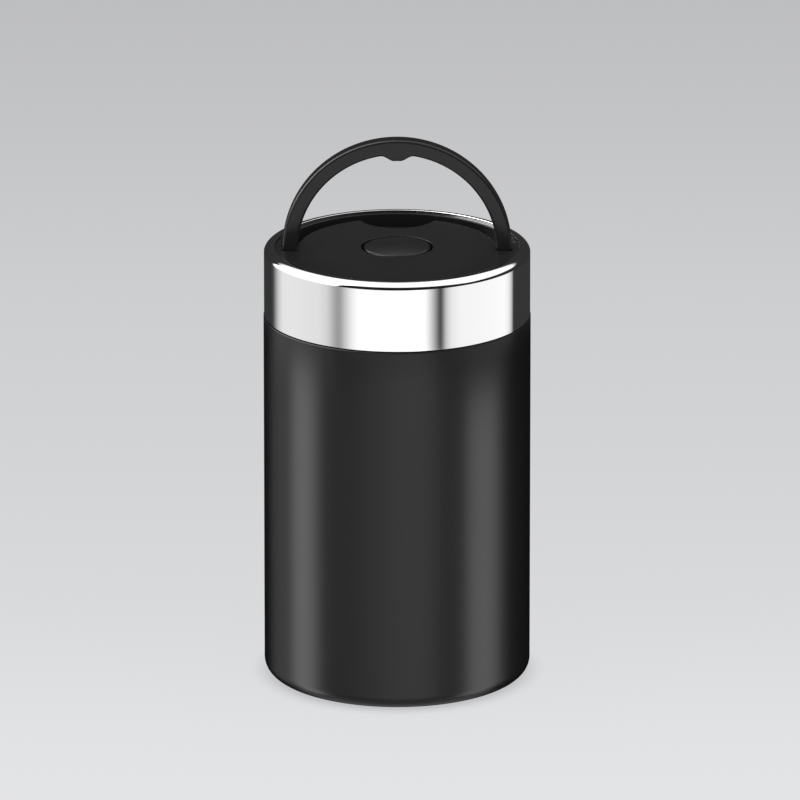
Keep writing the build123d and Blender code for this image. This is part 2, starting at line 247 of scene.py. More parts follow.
class Finish:
    """A material, or the world, as it is being wired."""

    def __init__(self, name, owner=None):
        self.owner = owner or bpy.data.materials.new(name)
        self.owner.use_nodes = True
        self.tree = self.owner.node_tree
        self.tree.nodes.clear()

    def node(self, kind, settings=None, sockets=None):
        """Adds a node: its settings first, then the values or links of its sockets."""
        made = self.tree.nodes.new(kind)
        for key, value in (settings or {}).items():
            if key == "stops":
                elements = made.color_ramp.elements
                while len(elements) < len(value):
                    elements.new(1)
                for element, (position, grey) in zip(elements, value):
                    element.position, element.color = position, (grey, grey, grey, 1)
            else:
                setattr(made, key, value)
        for key, value in (sockets or {}).items():
            if isinstance(value, Value):
                value = value.socket
            if isinstance(value, bpy.types.NodeSocket):
                self.tree.links.new(value, made.inputs[key])
            else:
                made.inputs[key].default_value = value
        return made

    def place(self):
        """Object coordinates, split into x, y and z, in metres."""
        vector = self.node("ShaderNodeTexCoord").outputs["Object"]
        split = self.node("ShaderNodeSeparateXYZ", None, {"Vector": vector})
        return vector, [Value(self, split.outputs[axis]) for axis in "XYZ"]

    def noise(self, vector, scale, detail=3.0, roughness=0.5):
        """Noise from 0 to 1, with so many features to the metre."""
        made = self.node(
            "ShaderNodeTexNoise",
            None,
            {"Vector": vector, "Scale": scale, "Detail": detail, "Roughness": roughness},
        )
        return Value(self, made.outputs["Fac"])

    def mix(self, share, first, second):
        """Mixes two colours."""
        made = self.node(
            "ShaderNodeMix",
            {"data_type": "RGBA"},
            {"Factor": share, 6: first, 7: second},
        )
        return made.outputs[2]

    def bump(self, height, depth, strength=1.0):
        """A bump whose height runs from 0 to a depth in metres."""
        made = self.node(
            "ShaderNodeBump", None, {"Height": height, "Distance": depth, "Strength": strength}
        )
        return made.outputs["Normal"]

    def surface(self, **sockets):
        """Ends the material in a Principled shader; sockets are named with underscores."""
        named = {key.replace("_", " "): value for key, value in sockets.items()}
        made = self.node("ShaderNodeBsdfPrincipled", None, named)
        self.node("ShaderNodeOutputMaterial", None, {"Surface": made.outputs[0]})
        return self.owner


def grey(level, warmth=0.0):
    """A grey of this linear level, a little warm or cool."""
    return (level * (1 + warmth), level, level * (1 - warmth), 1)


low, high = span("outer_shell")
shell_radius = high[0]
rim = high[2]
seam = 0.4
ledge = span("lid_band")[0][2] - seam
neck_radius = 42.6
foot_radius, foot_inside = 42.0, 4.0
foot_inner_bend, foot_outer_bend, ledge_bend, neck_bend = 1.0, 5.5, 0.35, 1.5
shell_wall = 0.6
paint_edge, paint_fade = ledge + 0.3, 0.05

# The lid's climb is given in metres for each radian of its turn.
thread_pitch = 2 * math.pi * frame["record"]["behaviour"]["couplings"][0]["ratio"] / MM
thread_crest, thread_start, thread_turns = 43.9, ledge + 4.3, 1.25

shell_line = bent(
    [
        (foot_radius, foot_inside),
        (foot_radius, 0),
        (shell_radius, 0),
        (shell_radius, ledge),
        (neck_radius, ledge),
        (neck_radius, rim),
    ],
    [foot_inner_bend, foot_outer_bend, ledge_bend, neck_bend],
)

coat = Finish("satin_black_coat")
coat_vector, (_, _, coat_height) = coat.place()
bare = coat_height.step((paint_edge - paint_fade) * MM, (paint_edge + paint_fade) * MM)
orange_peel = coat.noise(coat_vector, 900, 2.0)
mottle = coat.noise(coat_vector, 60, 4.0)
spun = coat.noise(coat_vector, 2500, 1.0)
coat_finish = coat.surface(
    Base_Color=coat.mix(bare, grey(0.0095), grey(0.55, 0.01)),
    Metallic=bare,
    Roughness=(mottle * 0.04 + 0.23) * (1 - bare) + bare * 0.28,
    Specular_IOR_Level=0.3,
    Normal=coat.bump(orange_peel * (1 - bare) + spun * 0.3, 0.000004, 0.5),
)
piece(
    "painted_shell",
    [
        lathe(sheet(shell_line, shell_wall), 320),
        thread(neck_radius, thread_crest, thread_start, thread_pitch, thread_turns, True),
    ],
    "jar",
    coat_finish,
    ["outer_shell"],
)


# ---- Food vessel -------------------------------------------------------------------
# The inner wall is drawn from stainless steel and hangs from the rim, where it is
# welded to the neck. Its inside has the fine rings of a polishing wheel.

low, high = span("inner_vessel")
vessel_wall, weld_gap = 0.5, 0.02
vessel_radius, floor_height = high[0] - vessel_wall, low[2] + vessel_wall
mouth_radius, taper_start, taper_end = 40.1, 130.0, 138.5
floor_bend, taper_bend, weld_bend = 12.0, 5.0, 0.5
vessel_line = bent(
    [
        (0, floor_height),
        (vessel_radius, floor_height),
        (vessel_radius, taper_start),
        (mouth_radius, taper_end),
        (mouth_radius, rim),
        (neck_radius - shell_wall - weld_gap, rim),
    ],
    [floor_bend, taper_bend, taper_bend, weld_bend],
    steps=14,
)
steel = Finish("polished_vessel_steel")
steel_vector, _ = steel.place()
rings = steel.node("ShaderNodeMapping", None, {"Vector": steel_vector, "Scale": (1, 1, 60)})
ring_lines = steel.noise(rings.outputs[0], 25, 2.0)
cloud = steel.noise(steel_vector, 35, 3.0)
vessel_steel = steel.surface(
    Base_Color=grey(0.6, 0.01),
    Metallic=1.0,
    Roughness=cloud * 0.1 + 0.2,
    Normal=steel.bump(ring_lines, 0.00001, 0.35),
)
piece(
    "food_vessel",
    [lathe(sheet(vessel_line, -vessel_wall)[::-1])],
    "jar",
    vessel_steel,
    ["inner_vessel"],
)


# ---- Base --------------------------------------------------------------------------
# Two pressed steel discs close the foot: the inner one holds the vacuum, and the outer
# one, with a shallow round dimple, hides its seal. Both are brushed on a wheel.

cover_radius, cover_height, cover_dimple = 40.61, 4.0, 12.0
inner_radius, inner_height, inner_dimple, pump_hole = 41.38, 6.6, 9.0, 1.0
disc_wall, disc_foot, disc_bend, dimple_rise, dimple_bend = 0.6, 1.2, 1.6, 1.0, 0.6


def pressed_disc(radius, height, dimple, hole=0.0):
    """A disc of sheet: a turned-down edge, the flat, and a dimple with 45 degree sides."""
    raised = height + dimple_rise
    corners = [(radius, disc_foot), (radius, height), (dimple, height), (dimple - dimple_rise, raised)]
    line = bent(corners + [(hole, raised)], [disc_bend, dimple_bend, dimple_bend])
    return lathe(sheet(line, disc_wall))


wheel = Finish("wheel_brushed_steel")
_, (wheel_x, wheel_y, _) = wheel.place()
wheel_squared = wheel_x * wheel_x + wheel_y * wheel_y
circles = wheel.node("ShaderNodeCombineXYZ", None, {"X": wheel_squared.maths("SQRT", wheel_squared)})
circle_lines = wheel.noise(circles.outputs[0], 4000, 2.0)
wheel_steel = wheel.surface(
    Base_Color=grey(0.55, 0.01),
    Metallic=1.0,
    Roughness=circle_lines * 0.12 + 0.28,
    Normal=wheel.bump(circle_lines, 0.00001, 0.4),
)
base_cover = pressed_disc(cover_radius, cover_height, cover_dimple)
vacuum_base = pressed_disc(inner_radius, inner_height, inner_dimple, pump_hole)
piece("base_disc", [base_cover], "jar", wheel_steel, ["base_cover"])
piece("inner_disc", [vacuum_base], "jar", wheel_steel, ["vacuum_base"])


# ---- Lid band ----------------------------------------------------------------------
# The lid's wide band is drawn from stainless steel, its top edge rolled over in a
# quarter of an ellipse and turned down inside the rim, then polished to a mirror.

low, high = span("lid_band")
band_radius, band_foot, crest = high[0], low[2], high[2]
band_wall, foot_chamfer = 0.6, 0.1
shoulder_width, shoulder_height = 3.7, 2.45
lip_width, lip_bend, lip_depth = 0.45, 0.2, 2.4
lip_radius = band_radius - shoulder_width - lip_width
foot_guard, shoulder_guard, lip_guard = 0.3, 0.15, 0.1


def arc(centre, radius, start, end, steps):
    """Points on a circle from one angle to another, in degrees."""
    angle = np.radians(np.linspace(start, end, steps))
    return np.column_stack([centre[0] + radius * np.cos(angle), centre[1] + radius * np.sin(angle)])


def shoulder(inset):
    """The rolled edge, drawn in by the inset: a quarter of a circle, stretched both ways."""
    size = [shoulder_width - inset, shoulder_height - inset]
    return [band_radius - shoulder_width, crest - shoulder_height] + size * arc((0, 0), 1, 0, 90, 33)


# The profile, anticlockwise: the outside, the shoulder, the lip, and the inside back down.
# A guard point just outside each end of a curve keeps the shading of the straight run flat.
inner_face = band_radius - band_wall
inner_shoulder = shoulder(band_wall)[::-1]
band_profile = np.vstack(
    [
        [[band_radius - foot_chamfer, band_foot], [band_radius, band_foot + foot_chamfer]],
        [[band_radius, band_foot + foot_guard], [band_radius, crest - shoulder_height - shoulder_guard]],
        shoulder(0),
        arc((lip_radius + lip_bend, crest - lip_bend), lip_bend, 90, 180, 9),
        [[lip_radius, crest - lip_bend - lip_guard]],
        [[lip_radius, crest - lip_depth], [lip_radius + band_wall, crest - lip_depth]],
        inner_shoulder[inner_shoulder[:, 0] > lip_radius + band_wall],
        [[inner_face, band_foot + foot_chamfer], [inner_face + foot_chamfer, band_foot]],
    ]
)
mirror = Finish("mirror_polished_steel")
mirror_vector, _ = mirror.place()
haze = mirror.noise(mirror_vector, 45, 3.0)
ripple = mirror.noise(mirror_vector, 30, 1.0)
mirror_steel = mirror.surface(
    Base_Color=grey(0.9),
    Metallic=1.0,
    Roughness=haze * 0.03 + 0.05,
    Normal=mirror.bump(ripple, 0.00001, 0.3),
)
piece("polished_band", [lathe(band_profile, 360)], "lid", mirror_steel, ["lid_band"])


# ---- Lid top -----------------------------------------------------------------------
# The black top is moulded in polypropylene with a fine grain. Its round disc stands
# inside a crescent groove that takes the folded handle; a fingertip scoop is cut into
# the disc's back edge, and two deep pockets take the handle's legs.

low, high = span("lid_top")
flange_radius, deck_top, top = high[0], low[2], high[2]
flange_top, flange_chamfer, insert_gap = top - 1.95, 1.2, 0.1
insert_radius = lip_radius - insert_gap

# The handle, its clearances, and the groove and pockets that they lead to.
pivot = joints["handle_fold"]["pos_m"][2] / MM
bail_rise, bail_outer, bail_inner, bail_thick, leg_tail = 1.3, 42.82, 37.14, 6.5, 4.0
rim_gap, disc_gap, floor_gap, swing_gap = 0.4, 0.42, 0.35, 0.4
groove_radius, disc_radius = bail_outer + rim_gap, bail_inner - disc_gap
groove_floor = pivot - bail_thick / 2 - floor_gap
pocket_floor = pivot - math.hypot(bail_thick / 2, leg_tail) - swing_gap
pocket_front, pocket_back, pocket_corner = -5.9, 3.95, 0.5
pin_boss_radius, disc_boss, rim_boss = 1.9, 0.38, 0.36
pocket_round, groove_round, round_run, rim_share = 0.15, 0.45, 6.0, 0.8
rim_dip, dip_start, dip_run, dip_margin, dip_depth = 0.55, pocket_back + 0.42, 4.0, 1.0, 0.9
scoop_radius, scoop_reach, scoop_corner = 14.3, 24.0, 1.2

# The button's well, and the rounds of the well's and the rim's edges. The guards say how
# many rounds away from its corner a guard point lies, on the flat and on the wall.
button_radius = span("vent_button")[1][0]
well_gap, well_floor, stem_hole = 0.95, deck_top + 1.5, 1.85
well_radius = button_radius + well_gap
edge_round, rim_round = 0.3, 0.15
flat_guard, recess_guard, wall_guard = 1.15, 1.1, 1.4


def half_recess():
    """The right half of the recess's edge, from the scoop's middle along the disc, round
    the leg pocket and back along the rim. The corner between scoop and disc is a circle
    that touches both. A point lies on each side at the pocket's back edge."""
    scoop_centre = scoop_reach + scoop_radius
    near, far = disc_radius - scoop_corner, scoop_radius + scoop_corner
    y = (near**2 - far**2 + scoop_centre**2) / (2 * scoop_centre)
    x = math.sqrt(near**2 - y**2)
    on_scoop = math.degrees(math.atan2(y - scoop_centre, x))
    on_disc = math.degrees(math.atan2(y, x))
    disc_step = math.degrees(math.asin(pocket_back / disc_radius))
    rim_step = math.degrees(math.asin((pocket_back - bail_rise) / groove_radius))
    pocket = pocket_front + pocket_corner
    return np.vstack(
        [
            arc((0, scoop_centre), scoop_radius, -90, on_scoop, 24),
            arc((x, y), scoop_corner, on_scoop + 180, on_disc, 14)[1:],
            arc((0, 0), disc_radius, on_disc, disc_step, 48)[1:],
            arc((0, 0), disc_radius, disc_step, 0, 6)[1:],
            arc((disc_radius + pocket_corner, pocket), pocket_corner, 180, 270, 7),
            arc((groove_radius - pocket_corner, pocket), pocket_corner, 270, 360, 7),
            arc((0, bail_rise), groove_radius, 0, rim_step, 3),
            arc((0, bail_rise), groove_radius, rim_step, 90, 110)[1:],
        ]
    )


half = half_recess()
recess = np.vstack([half[:-1], (half[::-1] * [-1, 1])[:-1]])
ahead = np.roll(recess, -1, 0) - np.roll(recess, 1, 0)
ahead /= np.linalg.norm(ahead, axis=1)[:, None]
inward = np.column_stack([-ahead[:, 1], ahead[:, 0]])
rim_width = insert_radius - rim_round - np.linalg.norm(recess, axis=1)

# The edge is rounded more where the groove is open, and a little less round the pockets.
# Behind the groove the rim is thin, so there the round is taller than it is wide.
open_share = eased((recess[:, 1] - pocket_back) / round_run)
round_down = pocket_round + (groove_round - pocket_round) * open_share
round_out = np.minimum(round_down, rim_share * rim_width)

# Across the wall: a guard on the flat top, the rounded edge, a guard below it, the floor.
turn = np.radians(np.linspace(0, 90, 7))
wall_out = np.concatenate([[-recess_guard], np.sin(turn) - 1, [0, 0]])
wall_down = np.concatenate([[0], 1 - np.cos(turn), [wall_guard, 0]])
wall_xy = recess[:, None] + inward[:, None] * (round_out[:, None] * wall_out)[..., None]
wall_z = top - round_down[:, None] * wall_down
wall_z[:, -1] = groove_floor
recess_wall = np.concatenate([wall_xy, wall_z[..., None]], -1)


def dipped(surface):
    """Lowers the rim behind the handle: z - dip·eased((y - start) / run), for the points
    outside the disc, by more than a margin, that lie near the top."""
    points, faces = surface
    x, y, z = points.T
    on_rim = (np.hypot(x, y) > disc_radius + dip_margin) & (z > top - dip_depth)
    return points - np.outer(rim_dip * eased((y - dip_start) / dip_run) * on_rim, [0, 0, 1]), faces


def drop(loop, upper, lower):
    """A straight wall under a closed loop, from one height to another."""
    levels = [np.column_stack([loop, np.full(len(loop), level)]) for level in (upper, lower)]
    return grid(np.stack(levels, 1), wrap_along=True, flip=True)


def pin_boss(wall, reach):
    """A low round boss on a pocket's wall, where the pin comes through: a ring of points
    about the pivot on the wall, the same ring at its reach, and the middle of its face."""
    out, size = np.array([[0, 1, 1], [1, 1, 0]])[..., None]
    y, z = size * arc((0, 0), pin_boss_radius, 0, 360, 49)[:-1].T[:, None]
    return grid(np.stack([wall + reach * out + 0 * y, y, pivot + z], -1), wrap_across=True, flip=reach < 0)


at_pocket = recess[:, 1] < pocket_back + 1e-6
pocket_edges = [recess[at_pocket & (recess[:, 0] * side > 0)] for side in (1, -1)]
groove_edge = recess[recess[:, 1] > pocket_back - 1e-6]
bosses = [
    pin_boss(side * wall, side * reach)
    for side in (-1, 1)
    for wall, reach in ((disc_radius, disc_boss), (groove_radius, -rim_boss))
]
top_profile = np.vstack(
    [
        [[well_radius + flat_guard * edge_round, top]],
        arc((well_radius + edge_round, top - edge_round), edge_round, 90, 180, 6),
        [[well_radius, top - wall_guard * edge_round], [well_radius, well_floor]],
        [[stem_hole, well_floor], [stem_hole, deck_top], [flange_radius, deck_top]],
        [[flange_radius, flange_top - flange_chamfer], [flange_radius - flange_chamfer, flange_top]],
        [[insert_radius, flange_top], [insert_radius, top - wall_guard * rim_round]],
        arc((insert_radius - rim_round, top - rim_round), rim_round, 0, 90, 6),
        [[insert_radius - flat_guard * rim_round, top]],
    ]
)
around = 360
outer_edge, well_edge = [arc((0, 0), radius, 0, 360, around + 1)[:-1] for radius in top_profile[[-1, 0], 0]]
top_face = filled([outer_edge, recess_wall[:, 0, :2], well_edge], top)


def moulded(name, level, grain=0.000008, rough=0.36, gloss=0.22):
    """Polypropylene from a spark-eroded mould: a fine grain, and a sheen that varies."""
    plastic = Finish(name)
    vector, _ = plastic.place()
    pits = plastic.noise(vector, 2600, 2.0, 0.6)
    sheen = plastic.noise(vector, 70, 3.0)
    shade = plastic.noise(vector, 1500, 2.0)
    return plastic.surface(
        Base_Color=plastic.mix(shade, grey(level * 0.85), grey(level * 1.15)),
        Roughness=sheen * 0.08 + pits * 0.05 + (rough - 0.06),
        Specular_IOR_Level=gloss,
        Normal=plastic.bump(pits, grain, 0.6),
    )


black_plastic = moulded("black_moulded_plastic", 0.0145, rough=0.31, gloss=0.17)
piece(
    "lid_disc_and_rim",
    [
        dipped(lathe(top_profile, around, closed=False)),
        dipped(top_face),
        dipped(grid(recess_wall, wrap_along=True, flip=True)),
        filled([groove_edge], groove_floor),
    ]
    + [drop(edge, groove_floor, pocket_floor) for edge in pocket_edges]
    + [filled([edge], pocket_floor) for edge in pocket_edges]
    + bosses,
    "lid",
    black_plastic,
    ["lid_top"],
)


# ---- Lid body ----------------------------------------------------------------------
# Under the top lies the lid's structural moulding: a deck over the jar's rim and a
# skirt round its neck. The thread is moulded inside the skirt, and a flange at its
# foot centres the steel band.

low, high = span("lid_body")
deck_thick, flange_thick, vent_radius = 1.6, 1.6, 3.2
deck_bottom, flange = deck_top - deck_thick, low[2] + flange_thick
thread_room, skirt_wall = 1.7, 1.8
skirt_radius, skirt_outer = neck_radius + thread_room, neck_radius + thread_room + skirt_wall
lid_crest, lid_thread_start, lid_thread_turns = neck_radius + 0.4, thread_start - 1, 1

# A closed outline starts and ends in the middle of a straight run, here on the deck.
on_deck = (20, deck_top)
body_line = bent(
    [
        on_deck,
        (vent_radius, deck_top),
        (vent_radius, deck_bottom),
        (skirt_radius, deck_bottom),
        (skirt_radius, low[2]),
        (high[0], low[2]),
        (high[0], flange),
        (skirt_outer, flange),
        (skirt_outer, deck_bottom),
        (high[0], deck_bottom),
        (high[0], deck_top),
        on_deck,
    ],
    [0.3, 0.3, 0.4, 0.4, 0.4, 0.3, 0.5, 0.5, 0.3, 0.3],
    steps=5,
    guard=0.05,
)[:-1]
lid_thread = thread(
    skirt_radius, lid_crest, lid_thread_start, thread_pitch, lid_thread_turns, False, phase=math.pi / 2
)
piece(
    "lid_deck_and_skirt",
    [lathe(body_line), lid_thread],
    "lid",
    black_plastic,
    ["lid_body"],
)


# ---- Lid plug ----------------------------------------------------------------------
# The food side of the lid is a smooth grey cup, welded to the deck, that hangs into the
# mouth. A chimney up its middle holds the valve's stem.

low, high = span("lid_liner")
plug_radius, plug_foot = high[0], low[2]
plug_wall, chimney_wall = 1.3, 1.2
plug_floor, chimney_radius = plug_foot + plug_wall, vent_radius + chimney_wall
on_chimney = (vent_radius + chimney_wall / 2, deck_bottom)
plug_line = bent(
    [
        on_chimney,
        (vent_radius, deck_bottom),
        (vent_radius, plug_foot),
        (plug_radius, plug_foot),
        (plug_radius, deck_bottom),
        (plug_radius - plug_wall, deck_bottom),
        (plug_radius - plug_wall, plug_floor),
        (chimney_radius, plug_floor),
        (chimney_radius, deck_bottom),
        on_chimney,
    ],
    [0.1, 0.3, 3.0, 0.1, 0.1, 1.7, 0.5, 0.1],
    guard=0.05,
)[:-1]
piece(
    "lid_plug",
    [lathe(plug_line)],
    "lid",
    moulded("grey_moulded_plastic", 0.09, grain=0.000003, rough=0.34),
    ["lid_liner"],
)


# ---- Gasket ------------------------------------------------------------------------
# A silicone ring lies between the deck and the rim, with two round beads on its
# underside. It doesn't turn with the lid, because it grips the rim.

low, high = span("lid_gasket")
bead_radius, gasket_gap, gasket_chamfer = 0.6, 0.3, 0.1
gasket_inner, gasket_outer, gasket_top = plug_radius + gasket_gap, high[0], high[2]
gasket_side, bead = gasket_top - gasket_chamfer, low[2] + bead_radius
middle, bead_step = (gasket_inner + gasket_outer) / 2, (gasket_outer - gasket_inner) / 4
gasket_profile = np.vstack(
    [
        [[middle, gasket_top], [gasket_inner + gasket_chamfer, gasket_top], [gasket_inner, gasket_side]],
        [[gasket_inner, bead]],
        arc((middle - bead_step, bead), bead_radius, 180, 360, 13),
        arc((middle + bead_step, bead), bead_radius, 180, 360, 13),
        [[gasket_outer, bead], [gasket_outer, gasket_side], [gasket_outer - gasket_chamfer, gasket_top]],
    ]
)
silicone = Finish("silicone")
silicone_vector, _ = silicone.place()
bloom = silicone.noise(silicone_vector, 120, 4.0)
silicone_rubber = silicone.surface(
    Base_Color=silicone.mix(bloom, grey(0.42), grey(0.55)),
    Roughness=bloom * 0.15 + 0.45,
    Subsurface_Weight=0.15,
    Subsurface_Scale=0.002,
    Normal=silicone.bump(silicone.noise(silicone_vector, 1500, 2.0), 0.000006, 0.5),
)
piece("lid_seal_ring", [lathe(gasket_profile)], "lid_seal", silicone_rubber, ["lid_gasket"])


# ---- Bail handle -------------------------------------------------------------------
# The handle is one black moulding: a half ring with straight legs, of a rounded
# rectangular section, and a small tab inside its crown to lift it by. Steel pins
# through the ends of its legs hold it in the lid.

bail_foot = pivot - leg_tail
bail_centre = pivot + bail_rise
bail_round = 0.9
tab_depth, tab_flat, tab_side, tab_angle = 2.35, 1.3, 5.0, 14
leg_steps, side_steps, tab_steps = 8, 60, 90


def bail():
    """The section, a rounded rectangle, carried from one leg's foot over the arc to the
    other's. Each point of the section lies so far in from the outer or the inner edge,
    and at its own y. Near a foot all of them draw in by a quarter circle, 1 - cos, so
    that the ends are rounded too. The tab is a smooth step down of the inner edge."""
    half_thick, guard = bail_thick / 2, 0.12
    turn = np.radians(np.linspace(0, 90, 7))
    corner_in = np.concatenate([[0], bail_round * (1 - np.cos(turn)), [bail_round + guard]])
    corner_y = half_thick - bail_round * (1 - np.sin(turn))
    corner_y = np.concatenate([[half_thick - bail_round - guard], corner_y, [half_thick]])
    outer = np.repeat([1, 0, 0, 1], len(corner_in))
    inward_by = np.concatenate([corner_in, corner_in[::-1], corner_in, corner_in[::-1]])
    y = np.concatenate([corner_y, corner_y[::-1], -corner_y, -corner_y[::-1]])

    leg = bail_centre - bail_foot
    straight = np.linspace(bail_round + 5 * guard, leg, leg_steps)[:-1]
    rise = np.concatenate([bail_round * (1 - np.cos(turn)), [bail_round + guard], straight])
    drawn = np.concatenate([bail_round * (1 - np.sin(turn)), np.zeros(leg_steps)])[:, None]
    in_by = np.maximum(inward_by, drawn)
    radius = np.where(outer, bail_outer - in_by, bail_inner + in_by)
    leg_y = np.sign(y) * np.minimum(abs(y), half_thick - drawn)
    left_leg = np.stack([-radius, leg_y, bail_foot + rise[:, None] + 0 * radius], -1)

    side = np.linspace(tab_angle, 90, side_steps)[1:]
    angle = np.concatenate([-side[::-1], np.linspace(-tab_angle, tab_angle, tab_steps), side])
    angle = np.radians(angle)[:, None]
    away = eased((abs(bail_inner * np.sin(angle)) - tab_flat) / tab_side)
    inner = bail_inner - tab_depth * (1 - away)
    radius = np.where(outer, bail_outer - inward_by, inner + inward_by)
    over = np.stack([radius * np.sin(angle), y + 0 * radius, bail_centre + radius * np.cos(angle)], -1)
    return tube(np.concatenate([left_leg, over, left_leg[::-1] * [-1, 1, 1]]))


handle_plastic = moulded("black_handle_plastic", 0.0155, rough=0.21, gloss=0.33)
piece("bail_handle", [bail()], "handle", handle_plastic, ["handle"])


# ---- Pressure button ---------------------------------------------------------------
# A domed button in the middle of the lid. A spring holds it up in its well, and
# pressing it lets the pressure out of the jar.

low, high = span("vent_button")
dome, button_edge, button_wall = high[2] - top, 0.9, 1.4
socket_radius, socket_top = 1.82, top - 2.3
hub_radius, hub_foot = 3.6, well_floor + 2.05
hollow_radius, hollow_top = button_radius - button_wall, top - button_wall

# The dome is the cap of a sphere. Its first points make way for the rounded edge.
dome_radius = (button_radius**2 + dome**2) / (2 * dome)
slope = math.degrees(math.asin(button_radius / dome_radius))
dome_line = arc((0, high[2] - dome_radius), dome_radius, 90 - slope, 90, 24)[3:]
side_line = bent([(button_radius, low[2]), (button_radius, top), tuple(dome_line[0])], [button_edge], steps=8)
button_profile = np.vstack(
    [
        [[0, socket_top], [socket_radius, socket_top], [socket_radius, hub_foot], [hub_radius, hub_foot]],
        [[hub_radius, hollow_top], [hollow_radius, hollow_top], [hollow_radius, low[2]]],
        side_line[:-1],
        dome_line,
    ]
)
button_plastic = moulded("black_button_plastic", 0.015, rough=0.29)
piece(
    "push_button",
    [lathe(button_profile, closed=False)],
    "vent",
    button_plastic,
    ["vent_button"],
)


# ---- Valve -------------------------------------------------------------------------
# The stem runs from the button down through the plug to a mushroom foot, which holds a
# silicone disc against the plug's underside.

low, high = span("vent_stem")
seal_thick, seal_radius, seal_hole = 1.6, 6.5, 1.82
stem_radius, mushroom_radius, stem_chamfer = 1.8, 5.0, 0.1
valve_foot = plug_foot - seal_thick
mushroom = [(0, low[2]), (mushroom_radius, low[2]), (mushroom_radius, valve_foot), (stem_radius, valve_foot)]
stem_top = [[stem_radius, high[2] - stem_chamfer], [stem_radius - stem_chamfer, high[2]], [0, high[2]]]
stem_line = np.vstack([bent(mushroom, [0.5, 0.3], steps=6, guard=0.05), stem_top])
piece(
    "valve_stem",
    [lathe(stem_line, 120, closed=False)],
    "vent",
    black_plastic,
    ["vent_stem"],
)
on_seal = (4, valve_foot)
seal_line = bent(
    [
        on_seal,
        (seal_radius, valve_foot),
        (seal_radius, plug_foot),
        (seal_hole, plug_foot),
        (seal_hole, valve_foot),
        on_seal,
    ],
    [0.4, 0.2, 0.1, 0.1],
    steps=6,
    guard=0.05,
)[:-1]
piece("valve_disc", [lathe(seal_line, 160)], "vent", silicone_rubber, ["valve_seal"])


# ---- Button spring -----------------------------------------------------------------
# A compression spring of drawn steel wire stands on the floor of the button's well, with
# a closed coil at each end. The real one shortens as the button goes down; this mesh keeps one length.

low, high = span("vent_spring")
wire_radius = 0.35
coil_radius = high[0] - wire_radius
coil_length = high[2] - low[2] - 2 * wire_radius
coil_turns, closed_rise = 4.5, 2.05 * wire_radius
coil_steps, wire_sides = 217, 12


def coil():
    """The wire's round section carried along a helix. The height over the turns is a
    broken line: the first and last turn rise by little more than the wire's thickness."""
    turn = np.linspace(0, coil_turns, coil_steps)
    knee_turns = [0, 1, coil_turns - 1, coil_turns]
    rise = np.interp(turn, knee_turns, [0, closed_rise, coil_length - closed_rise, coil_length])
    section = np.radians(np.linspace(0, 360, wire_sides, endpoint=False))
    radius = coil_radius + wire_radius * np.cos(section)
    height = low[2] + wire_radius + rise[:, None] + wire_radius * np.sin(section)
    return tube(turned(radius, height, 2 * math.pi * turn[:, None]), flip=True)


wire = Finish("drawn_steel_wire")
wire_vector, _ = wire.place()
wire_lines = wire.noise(wire_vector, 1800, 2.0)
wire_steel = wire.surface(
    Base_Color=grey(0.5, 0.01),
    Metallic=1.0,
    Roughness=wire_lines * 0.15 + 0.25,
    Normal=wire.bump(wire_lines, 0.000004, 0.4),
)
spring = piece("button_spring", [coil()], "vent", wire_steel, ["vent_spring"], sharp=70)
travel = joints["vent_press"]["range_m"][1] / MM
1 - travel / (high[2] - low[2])
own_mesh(spring)


# ---- Inside the walls --------------------------------------------------------------
# Pieces that don't show on the closed jar keep their solids: the handle's steel pins, the
# copper foil and the getter in the vacuum, the glass bead that closes the pump-out hole,
# and the foam puck in the lid.

foil = Finish("copper_foil")
foil_vector, _ = foil.place()
wrinkles = foil.noise(foil_vector, 90, 5.0)
copper = foil.surface(
    Base_Color=foil.mix(wrinkles, (0.78, 0.38, 0.24, 1), (0.86, 0.48, 0.32, 1)),
    Metallic=1.0,
    Roughness=wrinkles * 0.12 + 0.18,
    Normal=foil.bump(wrinkles, 0.0001, 0.4),
)
glass = Finish("sealing_glass")
glass_vector, _ = glass.place()
seeds = glass.noise(glass_vector, 900, 3.0)
glass_bead = glass.surface(
    Base_Color=glass.mix(seeds, (0.36, 0.42, 0.42, 1), (0.5, 0.56, 0.55, 1)),
    Roughness=seeds * 0.1 + 0.05,
    Normal=glass.bump(seeds, 0.00001, 0.3),
)
foam = Finish("closed_cell_foam")
foam_vector, _ = foam.place()
cells = foam.node("ShaderNodeTexVoronoi", None, {"Vector": foam_vector, "Scale": 1100})
cell = Value(foam, cells.outputs["Distance"])
foam_puck = foam.surface(
    Base_Color=foam.mix(cell.step(0.0, 0.6), (0.55, 0.5, 0.38, 1), (0.82, 0.77, 0.62, 1)),
    Roughness=cell * 0.2 + 0.75,
    Normal=foam.bump(cell, 0.0001, 0.8),
)
carried_over = {
    "handle_pin_left": wire_steel,
    "handle_pin_right": wire_steel,
    "getter": wire_steel,
    "getter_strap": wire_steel,
    "heat_shield": copper,
    "seal_bead": glass_bead,
    "lid_insulation": foam_puck,
}
for node, finish in carried_over.items():
    frame["nodes"][node].data.materials.clear()
    frame["nodes"][node].data.materials.append(finish)
